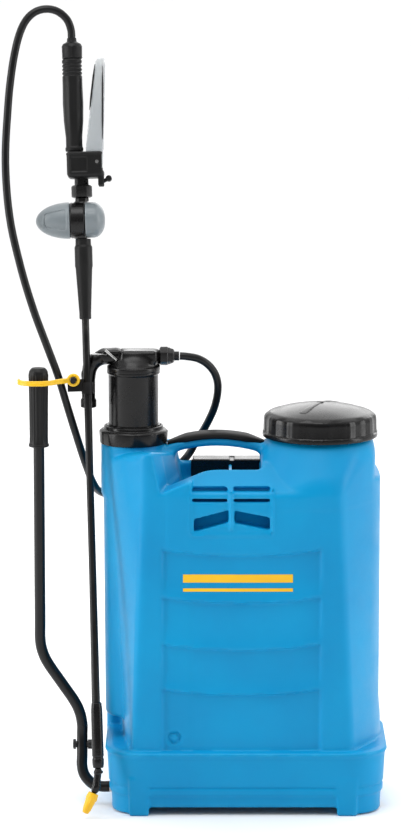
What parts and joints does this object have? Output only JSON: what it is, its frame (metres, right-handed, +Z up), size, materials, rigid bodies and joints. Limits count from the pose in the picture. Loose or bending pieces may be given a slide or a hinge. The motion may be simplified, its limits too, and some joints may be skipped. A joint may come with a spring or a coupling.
{
  "type": "knapsack sprayer",
  "caption": "Blue knapsack sprayer tank with an outside pressure chamber, side pump lever, screw filler cap, carrying handle and a hand lance on a hose.",
  "frame": {"origin": "middle of the whole sprayer's footprint at floor level, hose left out", "axes": "+Z up, +Y towards the operator's back, +X towards the filler cap"},
  "size_m": [0.4688, 0.3027, 0.9763],
  "materials": {
    "blue_polyethylene": "satin blow-moulded polyethylene",
    "black_plastic": "gloss moulded polypropylene",
    "black_matt": "fine spark-eroded texture",
    "black_rubber": "soft grip",
    "black_steel": "black powder coat",
    "bright_steel": "drawn steel",
    "grey_plastic": "satin grey",
    "clear_plastic": "clear polypropylene",
    "yellow_plastic": "satin yellow",
    "inner_plastic": "moulded",
    "hose_pvc": "smooth black hose",
    "black_fabric": "woven polyester over foam",
    "black_webbing": "woven polypropylene webbing"
  },
  "bodies": {
    "tank": {"tank": "blue_polyethylene", "handle_grip": "black_rubber", "pump_cylinder": "inner_plastic", "cylinder_nut": "black_plastic", "chamber_guide": "black_plastic", "intake_valve": "inner_plastic", "filler_strainer": "inner_plastic", "axle_bushes": "black_matt", "lance_clip": "black_matt", "lance_tube": "black_steel", "lance_sleeve": "black_matt", "nozzle_elbow": "black_matt", "lance_nut": "black_matt", "regulator_body": "black_matt", "regulator_shell": "grey_plastic", "lance_coupling": "black_matt", "valve_body": "black_matt", "trigger_pivot": "bright_steel", "gun_grip": "black_matt", "gun_filter": "yellow_plastic", "gun_hose_nut": "black_matt", "back_pad": "black_fabric", "strap_anchor": "black_matt", "shoulder_pad_left": "black_fabric", "shoulder_pad_right": "black_fabric", "webbing_left": "black_webbing", "webbing_right": "black_webbing", "buckle_left": "black_matt", "buckle_right": "black_matt", "strap_hooks": "black_matt", "hose": "hose_pvc"},
    "lever": {"lever_axle": "bright_steel", "lever_tube": "black_steel", "lever_grip": "black_rubber", "link_bolt": "black_steel", "axle_cap": "black_matt"},
    "chamber": {"pressure_chamber": "black_plastic", "chamber_lid": "black_plastic", "piston": "inner_plastic", "piston_seal": "black_rubber", "delivery_tube": "inner_plastic", "outlet_spout": "black_matt", "outlet_nut": "black_matt", "link_arm": "black_matt", "link_lock_pin": "bright_steel", "link_rod": "black_steel"},
    "intake_ball": {"intake_ball": "bright_steel"},
    "delivery_ball": {"delivery_ball": "bright_steel"},
    "cap_seal": {"cap_seal": "black_rubber"},
    "cap": {"filler_cap": "black_plastic", "cap_vent": "black_matt"},
    "strap_hook": {"lever_strap": "yellow_plastic"},
    "nozzle": {"nozzle_cap": "yellow_plastic"},
    "knob": {"regulator_knob": "grey_plastic"},
    "valve_stem": {"valve_stem": "bright_steel"},
    "trigger": {"trigger": "clear_plastic"},
    "trigger_latch": {"trigger_latch": "black_matt"}
  },
  "joints": [
    {"name": "lever_swing", "type": "hinge", "parent": "tank", "child": "lever", "pos_m": [0.048, -0.078, 0.024], "axis": [-1, 0, 0], "range_deg": [0, 80]},
    {"name": "chamber_stroke", "type": "slide", "parent": "tank", "child": "chamber", "axis": [0, 0, 1], "range_m": [-0.0585, 0]},
    {"name": "intake_lift", "type": "slide", "parent": "tank", "child": "intake_ball", "axis": [0, 0, 1], "range_m": [0, 0.003]},
    {"name": "delivery_lift", "type": "slide", "parent": "chamber", "child": "delivery_ball", "axis": [0, 0, 1], "range_m": [0, 0.004]},
    {"name": "cap_lift", "type": "slide", "parent": "tank", "child": "cap_seal", "axis": [0, 0, 1], "range_m": [0, 0.12]},
    {"name": "cap_turn", "type": "hinge", "parent": "cap_seal", "child": "cap", "pos_m": [0.1445, -0.033, 0.47], "axis": [0, 0, 1], "range_deg": [0, 540]},
    {"name": "strap_swing", "type": "hinge", "parent": "tank", "child": "strap_hook", "pos_m": [-0.1565, -0.053, 0.528], "axis": [0, 1, 0], "range_deg": [0, 100]},
    {"name": "nozzle_turn", "type": "hinge", "parent": "tank", "child": "nozzle", "pos_m": [-0.12869, -0.13851, 0.03927], "axis": [-0.396, -0.1729, -0.9018], "range_deg": [0, 360]},
    {"name": "regulator_turn", "type": "hinge", "parent": "tank", "child": "knob", "pos_m": [-0.14241, -0.00666, 0.71747], "axis": [0.9996, 0, 0.0297], "range_deg": [0, 270]},
    {"name": "trigger_squeeze", "type": "hinge", "parent": "tank", "child": "trigger", "pos_m": [-0.12786, 0.00669, 0.78664], "axis": [-0.0057, -0.9816, 0.1907], "range_deg": [0, 8], "stiffness_Nm_per_rad": 1.5, "springref_deg": -2.86},
    {"name": "stem_push", "type": "slide", "parent": "tank", "child": "valve_stem", "axis": [0.0291, -0.1908, -0.9812], "range_m": [0, 0.004]},
    {"name": "latch_turn", "type": "hinge", "parent": "tank", "child": "trigger_latch", "pos_m": [-0.12315, 0.002, 0.76262], "axis": [0.0057, 0.9816, -0.1907], "range_deg": [0, 60]}
  ],
  "couplings": [
    {"joint": "chamber_stroke", "follows": "lever_swing", "m_per_rad": -0.041463},
    {"joint": "stem_push", "follows": "trigger_squeeze", "m_per_rad": 0.025067}
  ]
}
